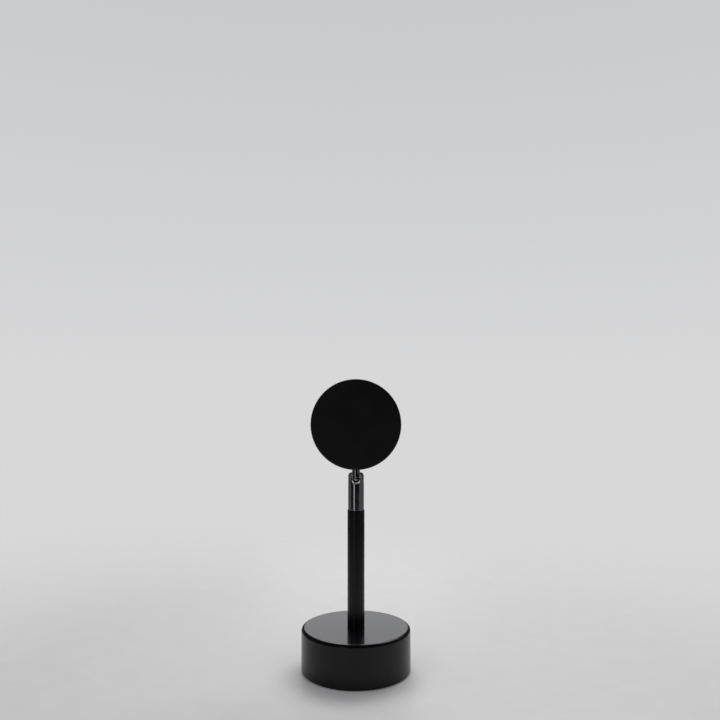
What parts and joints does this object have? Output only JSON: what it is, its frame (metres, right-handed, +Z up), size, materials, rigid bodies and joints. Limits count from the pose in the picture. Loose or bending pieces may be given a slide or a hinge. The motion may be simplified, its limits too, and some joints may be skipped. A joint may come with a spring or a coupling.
{
  "type": "sunset projection lamp",
  "caption": "Small table projection lamp: drum-shaped tilting head with a convex lens, chrome fork joint, straight pole and round weighted base.",
  "frame": {"origin": "centre of the foot pad's underside, on the pole's axis", "axes": "+Z up along the pole; +Y the way the lens looks at rest, and out of the cable inlet; +X to the right as seen from behind the head; positive head_tilt turns the lens up and tips the head back towards -Y"},
  "size_m": [0.095, 0.0962, 0.2526],
  "materials": {
    "foam_pad": "closed-cell foam, fine pores, very matte",
    "zinc_plate": "zinc plated sheet steel, satin",
    "zinc_screws": "zinc plated screws, satin",
    "black_lacquer": "black satin lacquer on steel",
    "cast_iron": "sand cast iron, rough",
    "black_rubber": "moulded black rubber, matte",
    "green_laminate": "green solder mask on glass laminate",
    "wound_ferrite": "ferrite core with enamelled wire",
    "capacitor_sleeve": "shrink sleeve on an aluminium can",
    "chip_epoxy": "moulded black epoxy",
    "zinc_fittings": "zinc plated turned steel",
    "turned_steel": "turned steel, fine lathe marks",
    "chrome_plate": "bright chrome plate on turned metal",
    "red_insulation": "red wire insulation, half gloss",
    "black_insulation": "black wire insulation, half gloss",
    "nylon": "natural nylon washers",
    "black_anodised": "black fine-blasted anodised aluminium",
    "plain_aluminium": "extruded and sawn aluminium",
    "grey_thermal_pad": "grey heat-conducting silicone",
    "white_mask": "white solder mask on an aluminium board",
    "yellow_phosphor": "yellow phosphor under clear silicone",
    "black_plastic": "moulded black plastic, fine grain",
    "filter_glass": "coated glass: cyan centre, magenta ring, orange rim",
    "spring_steel": "blued spring steel",
    "lens_glass": "clear polished glass"
  },
  "bodies": {
    "stand": {"foot_pad": "foam_pad", "bottom_plate": "zinc_plate", "plate_screws": "zinc_screws", "base_shell": "black_lacquer", "base_weight": "cast_iron", "cable_grommet": "black_rubber", "driver_board": "green_laminate", "driver_coil": "wound_ferrite", "driver_capacitor": "capacitor_sleeve", "driver_chip": "chip_epoxy", "board_screws": "zinc_screws", "pole_nipple": "zinc_fittings", "nipple_washer": "zinc_fittings", "nipple_nut": "zinc_fittings", "pole_foot_plug": "turned_steel", "pole_tube": "black_lacquer", "pole_top_plug": "turned_steel", "fork": "chrome_plate", "pivot_screws": "chrome_plate", "lower_lead_red": "red_insulation", "lower_lead_black": "black_insulation"},
    "head": {"tongue": "chrome_plate", "friction_washers": "nylon", "neck_washer": "black_rubber", "neck_nut": "zinc_fittings", "head_shell": "black_anodised", "heat_sink": "plain_aluminium", "sink_screws": "zinc_screws", "thermal_pad": "grey_thermal_pad", "led_board": "white_mask", "led_emitter": "yellow_phosphor", "led_screws": "zinc_screws", "light_cup": "black_plastic", "cup_screws": "zinc_screws", "colour_filter": "filter_glass", "filter_ring": "spring_steel", "lens_gasket": "black_rubber", "lens": "lens_glass", "lens_ring": "black_anodised", "upper_lead_red": "red_insulation", "upper_lead_black": "black_insulation"}
  },
  "joints": [
    {"name": "head_tilt", "type": "hinge", "parent": "stand", "child": "head", "pos_m": [0, 0, 0.1649], "axis": [1, 0, 0], "range_deg": [-90, 90]}
  ]
}
